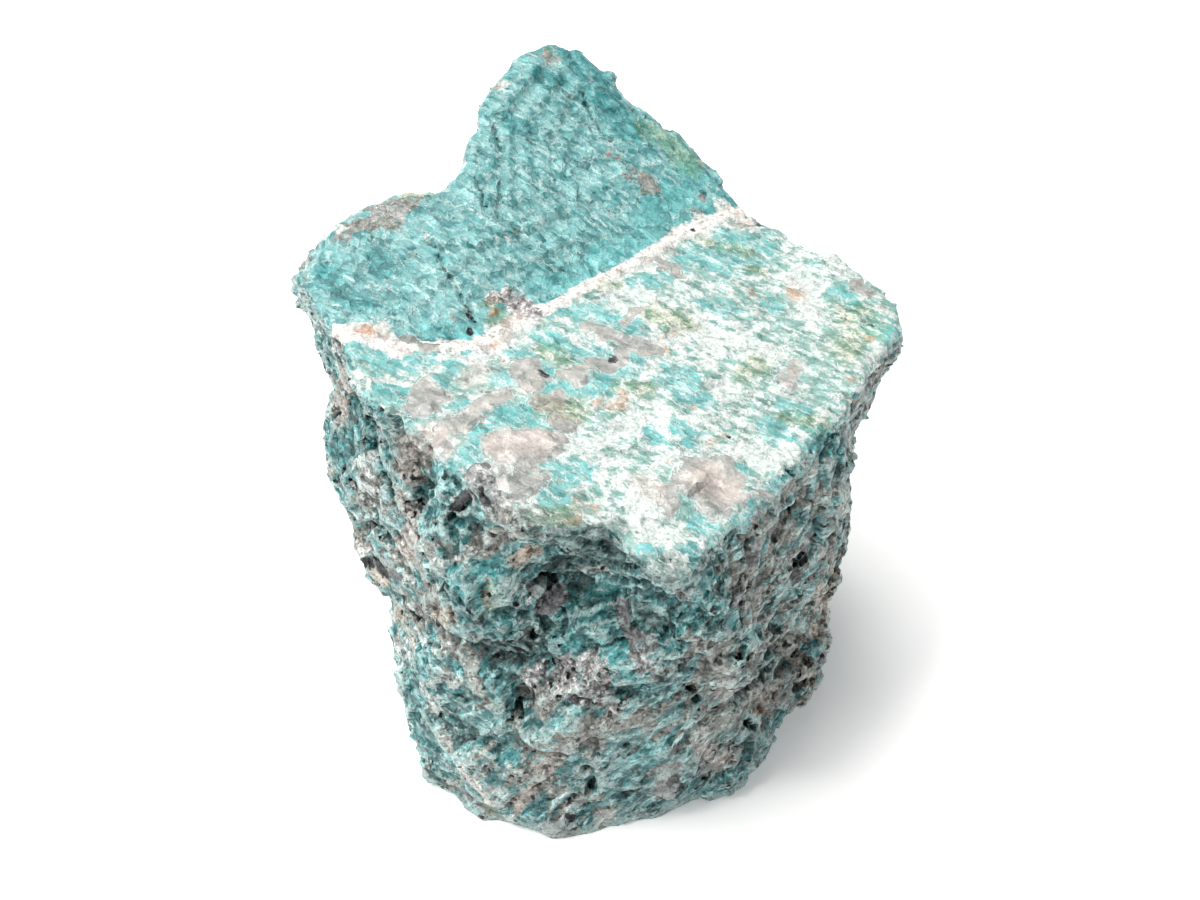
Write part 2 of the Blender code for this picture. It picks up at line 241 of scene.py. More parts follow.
# Where each mineral, tint or break shows on the sides that were photographed, and where shade is
# painted, traced as strokes: how far a stroke reaches in mm, then places along its middle as pixels
# of the photograph. Each list goes over the shelf, the left side, the front, the right and the slope.
PHOTO_WIDTH, PHOTO_HEIGHT = 1200, 900
STROKES = {
    "albite": (
        (1.7, (338, 333), (400, 345), (437, 346), (468, 345), (500, 330), (530, 317), (560, 300),
         (590, 283), (620, 265), (650, 250), (680, 235), (720, 215)),
        (2.6, (440, 360), (480, 355), (500, 345), (530, 322)),
        (3.0, (640, 490), (650, 530), (675, 560), (640, 520)), (3.2, (735, 455), (775, 455), (800, 440)),
        (3.0, (620, 430), (650, 415), (690, 460)), (2.0, (560, 440), (600, 445)),
        (2.6, (700, 330), (740, 345), (780, 355)), (2.4, (790, 280), (815, 290), (810, 315)),
        (2.0, (650, 365), (650, 375)), (1.4, (340, 332), (362, 328), (385, 330)),
        (1.6, (720, 205), (740, 215), (755, 230)), (1.6, (405, 385), (380, 378), (370, 385)),
        (0.6, (598, 150), (606, 148), (612, 145)), (0.6, (638, 132), (632, 142), (640, 128)),
        (0.5, (425, 205), (428, 222), (428, 240)), (1.2, (464, 164)), (0.9, (503, 84), (503, 87)),
        (0.5, (500, 240), (520, 240)), (0.7, (405, 194), (432, 194)), (1.2, (325, 235), (340, 228)),
        (2.6, (362, 552)), (1.8, (358, 462), (368, 456)), (1.5, (584, 572), (604, 568)),
        (1.0, (600, 600), (618, 602)), (1.6, (620, 668), (634, 676)), (1.5, (698, 736), (706, 746)),
        (1.2, (440, 738), (464, 774), (495, 806)), (1.6, (430, 686), (436, 708)),
        (1.0, (428, 684), (438, 678)), (0.9, (450, 688), (462, 680)), (0.8, (448, 740), (470, 768)),
    ),
    # on the sides some of the aqua is painted light: the lit ledges under the shelf and the highlights in
    # its recess
    "aqua": (
        (2.2, (375, 368), (394, 362)), (2.4, (405, 350), (420, 346)), (2.2, (412, 364), (424, 356)),
        (2.0, (447, 346), (468, 347)), (1.3, (448, 362), (449, 366)), (1.4, (456, 370), (465, 371)),
        (1.6, (440, 381), (448, 385)), (2.6, (383, 388), (404, 396)), (3.2, (350, 350), (382, 360)),
        (1.2, (424, 418), (430, 416)), (1.2, (458, 407), (467, 403)), (1.6, (518, 350), (528, 356)),
        (1.7, (500, 372), (508, 380)), (2.2, (534, 332), (556, 342)), (1.5, (545, 368), (548, 372)),
        (2.4, (545, 388), (568, 388)), (2.6, (502, 408), (504, 424)), (1.2, (478, 432), (490, 428)),
        (1.4, (474, 440), (470, 458)), (3.0, (522, 412), (545, 424)),
        (2.4, (562, 308), (600, 314), (614, 324)), (2.4, (570, 356), (594, 358)),
        (2.2, (592, 382), (615, 380), (632, 370), (632, 360)), (2.0, (634, 326), (636, 332)),
        (1.9, (638, 281), (655, 280), (667, 275)), (4.0, (690, 258), (720, 262)),
        (2.6, (722, 238), (745, 244)), (1.5, (752, 260), (760, 262)), (1.5, (762, 238), (768, 250)),
        (2.0, (704, 303), (728, 309)), (1.4, (768, 301), (778, 308)), (2.0, (836, 290), (850, 298)),
        (1.9, (856, 305)), (2.6, (872, 324), (888, 330)), (2.4, (665, 374), (684, 379)),
        (2.0, (690, 396), (706, 404)), (3.0, (660, 432), (684, 440)), (2.3, (561, 469), (580, 472)),
        (2.2, (542, 488), (558, 500)), (1.5, (688, 500), (694, 496)), (1.9, (696, 521), (706, 529)),
        (1.8, (770, 427), (788, 440)), (1.6, (786, 404), (800, 412)), (1.3, (774, 484), (776, 490)),
        (1.3, (738, 470), (744, 472)), (1.5, (682, 554), (690, 556)), (1.4, (648, 550), (656, 553)),
        (2.4, (804, 440), (842, 446)), (1.2, (745, 507), (760, 501)),
        (2.0, (618, 265), (640, 250), (655, 238)), (1.6, (535, 285), (552, 282), (545, 295)),
        (1.8, (684, 170), (700, 176)), (1.5, (700, 205), (712, 212)), (1.1, (382, 416), (386, 424)),
        (1.4, (436, 468), (448, 462)), (2.0, (458, 455), (468, 450)), (2.4, (486, 572), (500, 566)),
        (2.2, (455, 578), (462, 590)), (1.2, (503, 614), (506, 622)), (1.5, (543, 612), (556, 608)),
        (2.2, (598, 590), (616, 590)), (1.9, (556, 650), (576, 644)),
        (2.2, (606, 646), (626, 660), (632, 676)), (1.8, (590, 652), (600, 662)),
        (1.7, (697, 580), (712, 576)), (1.3, (688, 592), (704, 597), (718, 606), (736, 622)),
        (1.2, (752, 634), (760, 636)), (1.4, (736, 522), (744, 518)), (2.6, (640, 758), (664, 744)),
        (1.6, (503, 758), (512, 756)), (1.4, (558, 724), (565, 730)),
        (3.4, (640, 228), (668, 206), (684, 188)), (2.6, (560, 284), (596, 266), (612, 250)),
        (2.0, (430, 330), (470, 334)),
    ),
    "teal": (
        (3.2, (350, 400), (360, 435), (347, 446)), (2.6, (332, 442), (345, 458)),
        (1.5, (409, 412), (413, 432)), (1.6, (392, 448), (385, 460)), (2.6, (424, 502), (440, 518)),
        (2.2, (432, 478), (446, 472)), (1.4, (452, 470), (456, 480)), (2.0, (386, 590), (392, 584)),
        (2.4, (346, 496), (345, 480)), (1.6, (448, 528), (452, 535)), (1.8, (462, 516), (478, 509)),
        (3.2, (458, 590), (470, 612), (482, 632)), (1.8, (503, 622), (508, 636)),
        (2.2, (568, 634), (586, 630)), (2.2, (600, 622), (618, 626)), (1.2, (606, 682), (610, 694)),
        (2.6, (490, 672), (500, 690)), (1.4, (450, 662), (458, 668)),
        (2.8, (678, 612), (700, 606), (708, 618)), (1.9, (668, 634), (678, 646)),
        (2.6, (640, 590), (660, 600)), (1.6, (674, 684), (686, 668)), (2.0, (700, 560), (690, 552)),
        (1.3, (797, 516), (797, 540)), (1.6, (762, 544), (757, 560)), (1.7, (815, 520), (824, 530)),
        (2.2, (768, 604), (780, 588)), (1.4, (734, 536), (742, 530)), (1.3, (797, 690), (800, 694)),
        (3.0, (778, 720)), (2.0, (806, 640), (815, 650)), (2.0, (738, 738), (750, 740)),
        (2.2, (690, 778), (696, 790)), (3.0, (616, 784), (640, 796)), (2.0, (722, 786), (738, 776)),
        (2.0, (542, 800), (530, 822)), (1.6, (590, 826)), (3.0, (408, 694), (424, 718), (430, 744)),
        (2.2, (415, 670), (430, 664)), (3.4, (602, 90), (614, 112), (628, 134)),
        (2.2, (572, 56), (592, 72)), (2.0, (540, 76), (562, 82)), (1.8, (505, 122), (520, 130)),
        (2.0, (375, 258), (385, 268)), (1.6, (318, 268), (345, 285)), (1.8, (345, 295), (368, 305)),
    ),
    "grey": (
        (1.4, (632, 172), (648, 182), (654, 190)), (0.8, (612, 152), (620, 158)),
        (0.8, (657, 208), (658, 214)), (0.8, (653, 228), (657, 224)), (1.0, (699, 190), (702, 196)),
        (1.0, (694, 210), (700, 214)), (2.4, (345, 375), (340, 400), (336, 415)),
        (3.0, (365, 470), (376, 492), (362, 500)), (3.4, (404, 470), (416, 455), (430, 445)),
        (3.0, (400, 500), (412, 530), (402, 548)), (3.6, (420, 565), (438, 600), (420, 618)),
        (2.6, (496, 512), (520, 520)), (2.2, (480, 545), (515, 535)), (2.0, (530, 690), (550, 700)),
        (2.6, (470, 660), (480, 690)), (2.2, (440, 625), (452, 650)),
        (2.8, (690, 640), (720, 650), (700, 670)), (3.0, (640, 720), (600, 730), (566, 738)),
        (1.6, (782, 528), (786, 540)), (2.4, (736, 574), (752, 578)), (2.4, (744, 600), (760, 596)),
        (3.4, (760, 650), (785, 640), (800, 655)), (3.4, (745, 690), (775, 700)),
        (1.6, (546, 768), (560, 752), (530, 792), (515, 806)), (1.6, (552, 746), (600, 742)),
        (2.0, (450, 782), (470, 796)), (2.2, (410, 650)),
        (2.6, (346, 230), (365, 222), (385, 212), (408, 206)),
    ),
    "quartz": (
        (2.6, (498, 446), (520, 444), (547, 442), (524, 460), (508, 454)),
        (2.0, (497, 480), (522, 486), (540, 478)), (1.9, (443, 432), (464, 424), (482, 406), (502, 397)),
        (2.2, (424, 388), (416, 404), (424, 408)), (1.6, (440, 394), (446, 398)),
        (1.5, (442, 448), (444, 456)), (2.8, (522, 368), (532, 380)),
        (1.7, (592, 326), (602, 334), (618, 340), (640, 346), (654, 350)),
        (1.5, (562, 374), (584, 369), (600, 366), (612, 367)), (1.2, (576, 380), (582, 376)),
        (0.9, (638, 308), (632, 318), (625, 323)), (1.3, (621, 354), (624, 360)),
        (1.1, (648, 262), (660, 265), (674, 268), (678, 276)), (1.9, (668, 494), (669, 506)),
        (3.0, (702, 474), (718, 472), (728, 492), (716, 502), (694, 482)), (1.0, (738, 497), (766, 494)),
        (1.7, (796, 366), (794, 377)), (1.6, (782, 380), (790, 382)), (1.9, (558, 420), (568, 424)),
        (1.8, (538, 402), (560, 400)), (1.3, (504, 328), (506, 336)), (1.2, (372, 214), (380, 210)),
        (1.3, (395, 210), (403, 214)), (1.4, (423, 346), (434, 347)), (1.2, (404, 338), (412, 340)),
        (1.3, (736, 224), (750, 222)), (1.6, (856, 285), (870, 292)), (1.5, (668, 583), (680, 593)),
        (2.8, (708, 764), (732, 756)), (2.4, (670, 768), (664, 796)),
    ),
    "smoke": (
        (2.2, (388, 564), (394, 572)), (2.4, (480, 476), (486, 492)), (1.5, (457, 505), (466, 499)),
        (2.4, (538, 584), (556, 596), (546, 604)), (1.5, (622, 604), (630, 632), (636, 642)),
        (1.3, (640, 636), (650, 642)), (1.2, (588, 702), (572, 698)), (1.3, (736, 598), (746, 606)),
        (1.5, (749, 546), (752, 562)), (1.5, (805, 534), (803, 552)), (2.8, (552, 828), (570, 836)),
    ),
    "glitter": (
        (2.0, (520, 306), (530, 316)), (1.4, (494, 300), (508, 294)),
        (3.0, (566, 664), (590, 662), (602, 680), (580, 692), (560, 680)), (1.6, (596, 702), (608, 708)),
        (1.4, (635, 648), (646, 672)), (1.6, (540, 662), (530, 680)),
    ),
    "beige": (
        (2.6, (398, 608), (408, 616)), (2.4, (372, 572), (380, 578)), (1.7, (518, 560), (530, 549)),
        (1.8, (446, 612), (440, 620)), (2.8, (818, 588), (826, 606), (816, 624)),
        (1.8, (830, 580), (836, 572)), (1.5, (798, 664), (804, 676)), (1.8, (810, 680), (812, 690)),
    ),
    "olive": (
        (1.8, (604, 285), (616, 286)), (1.6, (700, 240), (725, 246), (750, 253)),
        (1.6, (752, 268), (762, 273)), (3.6, (850, 315), (872, 322), (852, 342), (845, 350)),
        (3.0, (655, 312), (680, 322)), (2.0, (620, 388), (648, 388)), (2.0, (790, 418), (822, 424)),
        (2.6, (548, 348), (562, 358)), (1.8, (490, 304), (502, 318), (494, 322)),
        (3.0, (545, 408), (575, 410)), (1.2, (545, 50), (556, 56)), (2.4, (760, 364), (745, 372)),
        (2.0, (540, 518), (570, 514)), (1.8, (490, 590), (500, 610)), (1.4, (478, 798), (492, 812)),
        (3.0, (645, 128), (672, 145), (690, 165)), (1.4, (405, 193), (430, 194)),
    ),
    "pink": (
        (3.4, (505, 446), (540, 444)), (3.2, (705, 478), (725, 490)), (2.6, (468, 378), (480, 370)),
        (1.6, (490, 348), (500, 344)), (1.8, (345, 335), (362, 331), (380, 331)),
        (1.6, (425, 347), (434, 348)), (1.8, (505, 330), (520, 318)), (1.6, (650, 262), (670, 250)),
        (2.0, (790, 285), (797, 298)), (1.6, (730, 215), (745, 222)),
        (0.3, (583, 92), (590, 108), (600, 130), (612, 142), (628, 138)), (1.5, (548, 58), (556, 60)),
        (2.4, (640, 480), (650, 490)), (2.4, (345, 375), (340, 400), (336, 415)),
        (3.0, (352, 535), (362, 552)), (3.6, (404, 460), (416, 448), (432, 440)),
        (3.0, (405, 505), (416, 535), (402, 550)), (2.4, (728, 672), (724, 694)),
        (2.4, (750, 694), (772, 700)), (2.4, (700, 752), (726, 760)),
        (1.6, (546, 768), (560, 752), (530, 792), (515, 806)), (1.8, (606, 812), (602, 824)),
        (1.2, (440, 738), (464, 774), (495, 806)), (2.2, (410, 650)),
    ),
    "rust": (
        (1.5, (620, 398), (618, 412), (608, 408)), (1.0, (592, 404), (600, 400)),
        (1.0, (598, 508), (586, 506), (575, 500)), (1.0, (563, 517), (580, 521)),
        (0.8, (660, 339), (672, 332)), (0.9, (664, 348), (666, 352)), (0.9, (714, 441), (724, 436)),
        (0.8, (662, 469), (671, 464)), (0.9, (495, 346), (499, 343)), (0.9, (358, 334), (370, 331)),
        (0.9, (486, 318), (500, 312), (504, 316)), (0.6, (452, 316), (453, 320)),
        (0.6, (364, 353), (365, 355)), (0.7, (503, 360), (506, 364)), (0.8, (752, 292), (772, 299)),
        (1.3, (788, 290), (796, 298)), (1.1, (868, 339), (875, 336)), (0.8, (794, 369), (797, 373)),
        (0.9, (849, 376), (852, 380)), (0.7, (543, 52), (550, 57)), (1.0, (494, 86)),
        (0.7, (618, 273), (624, 274)), (0.7, (712, 222), (716, 225)), (0.7, (692, 405), (697, 408)),
        (0.7, (484, 581), (489, 583)), (0.8, (520, 556), (531, 548)), (0.7, (754, 712), (768, 711)),
        (0.9, (820, 558), (832, 574)), (0.5, (806, 584), (809, 581)), (0.6, (497, 728), (491, 756)),
    ),
    # painted shade in the recess under the shelf and under the ledges, and painted shadows of small steps on
    # the slope
    "painted_shade": (
        (3.6, (540, 532), (600, 536), (592, 556), (562, 562)), (2.2, (598, 545), (618, 530)),
        (2.6, (480, 646), (520, 650), (540, 640)), (2.2, (640, 610), (660, 620)),
        (2.6, (755, 660), (770, 672)), (1.8, (736, 724), (750, 730)), (2.0, (432, 778), (442, 784)),
        (0.5, (500, 192), (501, 208)), (0.5, (492, 126), (500, 146)),
        (3.0, (620, 560), (660, 575), (700, 570)),
    ),
    "black": (
        (0.6, (472, 316), (474, 322)), (0.5, (468, 328), (470, 332)), (0.4, (437, 351), (439, 353)),
        (0.7, (611, 358), (613, 362)), (0.6, (785, 467), (787, 469)), (0.5, (586, 105), (588, 107)),
        (0.5, (694, 231), (696, 233)), (0.6, (491, 476), (493, 480)), (0.6, (540, 372), (544, 378)),
        (0.5, (727, 434), (730, 437)), (0.5, (754, 479), (757, 481)), (0.5, (661, 561), (667, 562)),
        (1.5, (360, 564), (374, 561), (382, 574)), (0.8, (397, 437), (403, 436)),
        (0.7, (714, 610), (718, 614)), (1.7, (799, 568), (798, 582), (803, 575)),
        (0.7, (795, 556), (796, 562)), (1.1, (764, 632), (768, 626), (778, 630)),
        (0.8, (788, 602), (794, 604)), (0.9, (693, 702), (697, 700)), (1.2, (672, 778), (678, 790)),
        (0.9, (568, 814), (574, 818)),
    ),
    "pit": (
        (2.0, (394, 424), (402, 432)), (0.9, (373, 423), (375, 431)), (0.8, (359, 402), (363, 410)),
        (1.0, (330, 418), (337, 414)), (1.7, (352, 514), (374, 526), (388, 540)),
        (1.2, (459, 506), (465, 500)), (1.3, (538, 578), (552, 580)), (1.1, (562, 614), (562, 634)),
        (0.8, (531, 628), (533, 638)), (0.9, (573, 672), (577, 674)), (1.0, (522, 698), (521, 714)),
        (0.6, (556, 700), (576, 694)), (0.9, (693, 702), (697, 700)), (1.0, (744, 720), (756, 727)),
        (1.3, (589, 770), (592, 792)),
    ),
    "crack": (
        (0.8, (364, 438), (374, 456), (386, 476), (395, 505), (408, 525), (425, 556), (443, 585),
         (448, 618)),
        (0.7, (345, 356), (355, 374), (362, 382)), (0.6, (400, 494), (408, 508)),
        (0.8, (500, 186), (501, 205), (503, 217), (515, 230), (530, 246)),
        (0.6, (488, 118), (494, 132), (502, 148)),
        (0.5, (430, 240), (440, 262), (452, 285), (462, 300), (472, 312)),
        (0.5, (472, 178), (482, 192), (490, 206)), (0.5, (583, 92), (590, 108), (600, 130), (612, 142)),
    ),
}


def on_stone(across, down):
    """The place on the stone, in mm, that a pixel of the photograph shows."""
    pixels_deep = PHOTO_WIDTH * LENS / SENSOR
    ray = Vector((across - PHOTO_WIDTH / 2, PHOTO_HEIGHT / 2 - down, -pixels_deep))
    ray.rotate(camera.rotation_euler)
    hit, place = stone.ray_cast(camera.location, ray)[:2]
    return place / MM if hit else None


SHOWN = {mineral: [] for mineral in STROKES}
for mineral, strokes in STROKES.items():
    for reach, *pixels in strokes:
        path = [place for place in (on_stone(*pixel) for pixel in pixels) if place]
        if path:
            SHOWN[mineral].append((reach, np.array(path)))

# The white seam between the blue slope and the shelf, as x and y in mm.
SEAM = np.array([(-70, -12), (-43.5, -6), (-32, -10), (-20.5, -9.7), (-10, -2.5), (0.4, 6.5), (11.5, 15.4),
                 (17, 19.6), (25, 25.8), (40, 36), (70, 60)])
SEAM_HALF = 3.4                 # mm, half its width
SLOPE_RIM = 82.5                # mm up, where the slope ends and its broken sides begin
SHELF_RIM_HIGHER = 1.4          # mm
# Where one side passes into the next, in degrees round the stone from +X: from and to.
MIDDLE_Y = -2                   # mm
LEFT_TO_FRONT, FRONT_TO_RIGHT, RIGHT_TO_BACK, BACK_TO_LEFT = (-125, -112), (-68, -56), (30, 50), (140, 160)
FRONT_BREAK = (38, 48)          # mm up, between the front's flat lower break and its recess
ALBITE_ON = {"slope": 0.12, "shelf": 0.52, "front": 0.33, "left": 0.38, "right": 0.28, "back": 0.34}


def near(points, strokes):
    """1 on the strokes' middle line, 0.5 at their reach, 0 at twice their reach."""
    best = np.zeros(len(points))
    for reach, path in strokes:
        low, high = path.min(0) - 2 * reach, path.max(0) + 2 * reach
        inside = np.flatnonzero(((points > low) & (points < high)).all(1))
        here = points[inside]
        away = np.full(len(here), np.inf)
        for start, end in zip(path, path[1:] if len(path) > 1 else path):
            along = end - start
            share = np.clip((here - start) @ along / max(along @ along, 1e-9), 0, 1)
            away = np.minimum(away, np.linalg.norm(here - start - share[:, None] * along, axis=1))
        best[inside] = np.maximum(best[inside], 1 - 0.5 * away / reach)
    return best


def minerals(points):
    """How much of each mineral, tint or painted shade there is at each point, from 0 to 1, and where the
    main faces lie.
    """
    upward = np.empty(len(points))
    stone.data.attributes["upward"].data.foreach_get("value", upward)
    x, y, z = points.T
    wander = [lumps(points, 3.0, 11 + i) * 0.7 + lumps(points, 1.2, 14 + i) * 0.4 for i in range(3)]
    ragged = points + np.stack(wander, axis=1)
    found = {mineral: near(ragged, strokes) for mineral, strokes in SHOWN.items()}

    # the main faces
    behind = y - np.interp(x, SEAM[:, 0], SEAM[:, 1])
    rim = SLOPE_RIM + SHELF_RIM_HIGHER * (1 - smooth(behind, -3, 0))
    top = smooth(z, rim, rim + 1.5) * smooth(upward + 0.25 * lumps(points, 5, 22), 0.25, 0.50)
    found["slope"] = slope = top * smooth(behind, -0.5, 1.0)
    found["shelf"] = shelf = top * (1 - smooth(behind, -1.0, 0.5))
    off_seam = np.abs(behind + 0.6 + 0.8 * lumps(points, 4.0, 21))
    found["seam"] = top * np.clip(1 - off_seam / SEAM_HALF, 0, 1)
    turn = np.degrees(np.arctan2(y - MIDDLE_Y, x))
    found["side"] = side = 1 - top
    found["right"] = right = side * smooth(turn, *FRONT_TO_RIGHT) * (1 - smooth(turn, *RIGHT_TO_BACK))
    found["front"] = front = side * smooth(turn, *LEFT_TO_FRONT) * (1 - smooth(turn, *FRONT_TO_RIGHT))
    left = side * (1 - smooth(turn, *LEFT_TO_FRONT)) + side * smooth(turn, *BACK_TO_LEFT)
    back = side * smooth(turn, *RIGHT_TO_BACK) * (1 - smooth(turn, *BACK_TO_LEFT))

    # the mottling between the strokes: white albite and drab grains, kept off the bluest places
    big, middle, small = lumps(points, 15, 31), lumps(points, 6, 32), lumps(points, 9, 33)
    faces = {"slope": slope, "shelf": shelf, "front": front, "left": left, "right": right, "back": back}
    rest = sum(ALBITE_ON[name] * share for name, share in faces.items())
    rest = rest + (0.09 * big + 0.10 * middle) * (1 - 0.5 * slope)
    blue = np.maximum(found["aqua"], found["teal"])
    cleared = (0.34 * shelf + 0.55 * (1 - shelf)) * smooth(blue, 0.3, 0.7)
    found["albite"] = np.clip(np.maximum(rest, found["albite"]) - cleared, 0, 1)
    drab = side * (0.34 + 0.24 * small + 0.20 * middle) + 0.14 * right
    drab = drab - 0.10 * front * smooth(z, *FRONT_BREAK)
    found["grey"] = np.maximum(found["grey"] * 1.2, drab) * (1 - 0.8 * smooth(blue, 0.35, 0.6))

    # the back and the far sides aren't in the photograph: the same minerals, by chance
    unseen = np.clip(back + right * smooth(y, 0, 12) + left * smooth(y, -6, 6), 0, 1)
    found["quartz"] = np.maximum(found["quartz"], unseen * smooth(lumps(points, 8, 34), 0.30, 0.62) * 0.75)
    found["albite"] = np.maximum(found["albite"], unseen * smooth(lumps(points, 10, 35), 0.15, 0.5) * 0.62)
    found["black"] = np.maximum(found["black"], side * smooth(lumps(points, 3.1, 36), 0.74, 0.84) * 0.8)
    found["teal"] = np.maximum(found["teal"], unseen * smooth(lumps(points, 9, 37), 0.25, 0.6))
    return found


FLAT_SPOT_ENDS = 0.6            # mm up
CARVED = (0.2, 1.6)             # mm up, from where nothing is carved to where all is
points = read_points()
normals = read_normals()
keep_field("upward", normals[:, 2])
rock = minerals(points)
base = points[:, 2] < FLAT_SPOT_ENDS
hold = smooth(points[:, 2], *CARVED)

RISER = (0.38, 0.62)            # the part of each sheet's thickness that its step takes up
MOST_SPLIT_OFF = 1.0            # mm


def cleave(points, normals, size, seed, lean, step, strength, wide=1.0):
    """Splits each crystal along its own leaning plane. With a step, it breaks into sheets that thick, as a
    stair; without one, it gets a single flat face."""
    index, cells = grains(points / (wide, wide, 1.0), size, seed)
    total = np.bincount(index)
    middle = np.stack([np.bincount(index, points[:, i]) for i in range(3)], axis=1) / total[:, None]
    facing = np.stack([np.bincount(index, normals[:, i]) for i in range(3)], axis=1) / total[:, None]
    agree = np.linalg.norm(facing, axis=1)
    turned = np.stack([chance(cells, seed + 50 + i) for i in range(3)], axis=1) - 0.5
    facing = facing / np.maximum(agree, 1e-6)[:, None] + turned * lean
    facing /= np.linalg.norm(facing, axis=1)[:, None]
    off = ((points - middle[index]) * facing[index]).sum(1)
    if step:
        sheets = off / step + chance(cells, seed + 60)[index]
        whole = np.floor(sheets)
        off = (sheets - whole - smooth(sheets - whole, *RISER)) * step
    flat = smooth(agree, 0.45, 0.75)[index] * strength
    return points - facing[index] * (np.clip(off, -MOST_SPLIT_OFF, MOST_SPLIT_OFF) * flat)[:, None]


# The sides are split in level layers, which stand out as ledges, most of all on the right. The
# lower front broke off flatter, across its layers, which run up to the right.
LAYERS = (
    # how much x, y and z are squeezed, size in mm, seed, depth in mm
    ((0.16, 0.16, 1.0), 1.7, 51, 0.22),
    ((0.10, 0.10, 1.0), 4.0, 52, 0.50),
)
STREAKS_SQUEEZED, STREAKS_SIZE, STREAKS_SEED, STREAKS_DEPTH = (0.14, 0.3, 1.0), 1.6, 53, 0.30
UP_TO_THE_RIGHT = rotation(0, 56, 0)
LEVEL_ALL_ROUND, LEVEL_ON_RIGHT = 0.2, 0.8
FLATTER_FRONT = 0.62

sides = rock["side"]
flat_front = rock["front"] * (1 - smooth(points[:, 2], *FRONT_BREAK))
level = sum(lumps(points * squeezed, size, seed) * depth for squeezed, size, seed, depth in LAYERS)
streaks = lumps(points @ UP_TO_THE_RIGHT.T * STREAKS_SQUEEZED, STREAKS_SIZE, STREAKS_SEED) * STREAKS_DEPTH
level = level * (LEVEL_ALL_ROUND + LEVEL_ON_RIGHT * rock["right"])
layers = level * (1 - flat_front) + streaks * flat_front
points = points + normals * (layers * hold * sides)[:, None]
write_points(points)
normals = read_normals()

# Crystals of feldspar, split in sheets along their cleavage, and the smaller faces on them.
# They are flattest on the blue slope and roughest on the broken sides.
CRYSTALS = (
    # size in mm, seed, lean, sheet in mm, strength on the slope, the shelf and the sides,
    # how much wider than high
    (16.0, 101, 0.50, 1.8, 0.45, 0.10, 0.85, 1.2),
    (7.0, 202, 0.85, 1.2, 0.16, 0.25, 0.80, 1.3),
    (3.2, 252, 0.80, 0, 0.10, 0.25, 0.50, 1.2),
)
for size, seed, lean, sheet_thick, on_slope, on_shelf, on_side, wide in CRYSTALS:
    on_side = on_side * (1 - FLATTER_FRONT * flat_front)
    strength = hold * (on_slope * rock["slope"] + on_shelf * rock["shelf"] + on_side * sides)
    points = cleave(points, normals, size, seed, lean, sheet_thick, strength, wide)
    write_points(points)
    normals = read_normals()

# Grains of quartz stand a little proud, black grains, cracks and pits lie deep,
# the seam is a raised crust, and the albite is sugary.
QUARTZ_PROUD, CRUST_PROUD = 0.3, 0.35           # mm; quartz is flush on the slope
BLACK_DEEP, PIT_DEEP = 0.5, 2.4                 # mm
CRACK_DEEP, CRACK_DEEPER_ON_SIDES = 0.9, 0.4    # mm
QUARTZ_FACES, CLUSTER_FACES = (6.0, 303, 0.55), (1.5, 404, 1.2)     # size in mm, seed, lean
FINE_SUGAR, COARSE_SUGAR, SUGAR_DEEP = 0.9, 2.0, 0.09               # mm

quartz = smooth(np.maximum(rock["quartz"], rock["smoke"]), 0.42, 0.60)
cluster = smooth(rock["glitter"], 0.4, 0.6)
deep = BLACK_DEEP * smooth(rock["black"], 0.3, 0.7) + PIT_DEEP * smooth(rock["pit"], 0.45, 0.95)
deep = deep + (CRACK_DEEP + CRACK_DEEPER_ON_SIDES * sides) * smooth(rock["crack"], 0.35, 0.85)
proud = QUARTZ_PROUD * (1 - rock["slope"]) * quartz + CRUST_PROUD * smooth(rock["seam"], 0.3, 0.9)
points = points + normals * ((proud - deep) * hold)[:, None]
write_points(points)
normals = read_normals()
points = cleave(points, normals, *QUARTZ_FACES, 0, hold * quartz * 0.8)
points = cleave(points, normals, *CLUSTER_FACES, 0, hold * cluster)
sugar = (lumps(points, FINE_SUGAR, 41) + lumps(points, COARSE_SUGAR, 42)) * SUGAR_DEEP
crumbly = 0.10 + 0.9 * smooth(rock["albite"], 0.4, 0.6) * (1 - 0.3 * rock["shelf"])
points = points + normals * (sugar * hold * crumbly * (1 - 0.8 * quartz))[:, None]

# It stays inside the CAD model's box, and its flat spot stays flat.
low, high = np.array(CAD_BOX) / MM
points = np.clip(points, low, high)
points[base, 2] = np.where(points[base, 2] < FLAT_SPOT_ENDS / 2, 0, points[base, 2])
write_points(points)

thin = stone.modifiers.new("thin_to_edges", "DECIMATE")
thin.decimate_type = "COLLAPSE"
thin.ratio = STONE_TRIANGLES / (2 * len(stone.data.polygons))
bpy.ops.object.select_all(action="DESELECT")
stone.select_set(True)
bpy.context.view_layer.objects.active = stone
bpy.ops.object.modifier_apply(modifier=thin.name)
bpy.ops.object.shade_smooth_by_angle(angle=math.radians(CRISP_FROM))

points = np.clip(read_points(), low, high)
write_points(points)
rock = minerals(points)

# How far each point lies in a hollow, from -1 on an edge to 1 in a crevice: how deep it is
# below the same surface once its points are evened out a few times, and many times.
EVENED_OUT = ((3, 0.22), (14, 0.8))     # how often, and the depth in mm that counts fully
ends = np.empty(len(stone.data.edges) * 2, np.int32)
stone.data.edges.foreach_get("vertices", ends)
ends = ends.reshape(-1, 2)
ends = np.concatenate([ends, ends[:, ::-1]])
neighbours = np.bincount(ends[:, 0], minlength=len(points))[:, None]
softened = points.copy()
rock["hollow"] = np.zeros(len(points))
normals = read_normals()
for times, depth_in_full in EVENED_OUT:
    for _ in range(times):
        summed = [np.bincount(ends[:, 0], softened[ends[:, 1], i], len(points)) for i in range(3)]
        softened = np.stack(summed, axis=1) / neighbours
    sunk = ((softened - points) * normals).sum(1)
    rock["hollow"] += np.clip(sunk / depth_in_full, -1, 1) / len(EVENED_OUT)
FIELDS = tuple(STROKES) + ("seam", "slope", "shelf", "side", "front", "hollow")
for name in FIELDS:
    keep_field(name, rock[name])


